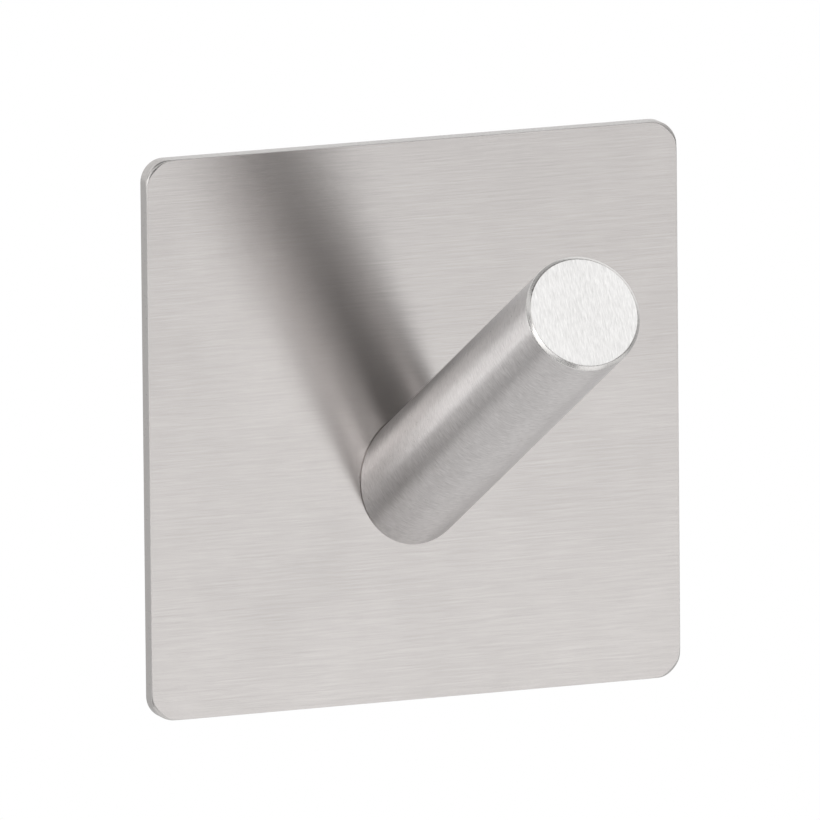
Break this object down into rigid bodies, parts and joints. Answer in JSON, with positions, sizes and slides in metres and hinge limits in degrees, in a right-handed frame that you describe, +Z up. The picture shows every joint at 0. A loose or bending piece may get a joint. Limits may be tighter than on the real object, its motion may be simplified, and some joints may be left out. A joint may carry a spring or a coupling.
{
  "type": "wall hook",
  "caption": "Square brushed-steel wall plate with a round slanted peg for hanging towels or coats, bonded to a wall by a foam adhesive pad.",
  "frame": {"origin": "middle of the adhesive pad's wall face, which is also the middle of the plate seen from the front", "axes": "+Y into the wall, so the hook's front faces -Y; +Z up; +X to the right seen from the front"},
  "size_m": [0.048, 0.0435, 0.048],
  "materials": {
    "brushed_plate": "straight horizontal brushing on the face, softly rounded edges",
    "turned_peg": "fine brushing round the bar, straight brushing on the end face",
    "fastener_steel": "plain satin stainless fasteners",
    "foam_pad": "grey double-sided acrylic foam, slightly tacky sheen"
  },
  "bodies": {
    "root": {"back_plate": "brushed_plate", "hook_peg": "turned_peg", "peg_screw": "fastener_steel", "locating_pin": "fastener_steel", "adhesive_pad": "foam_pad"}
  },
  "joints": []
}
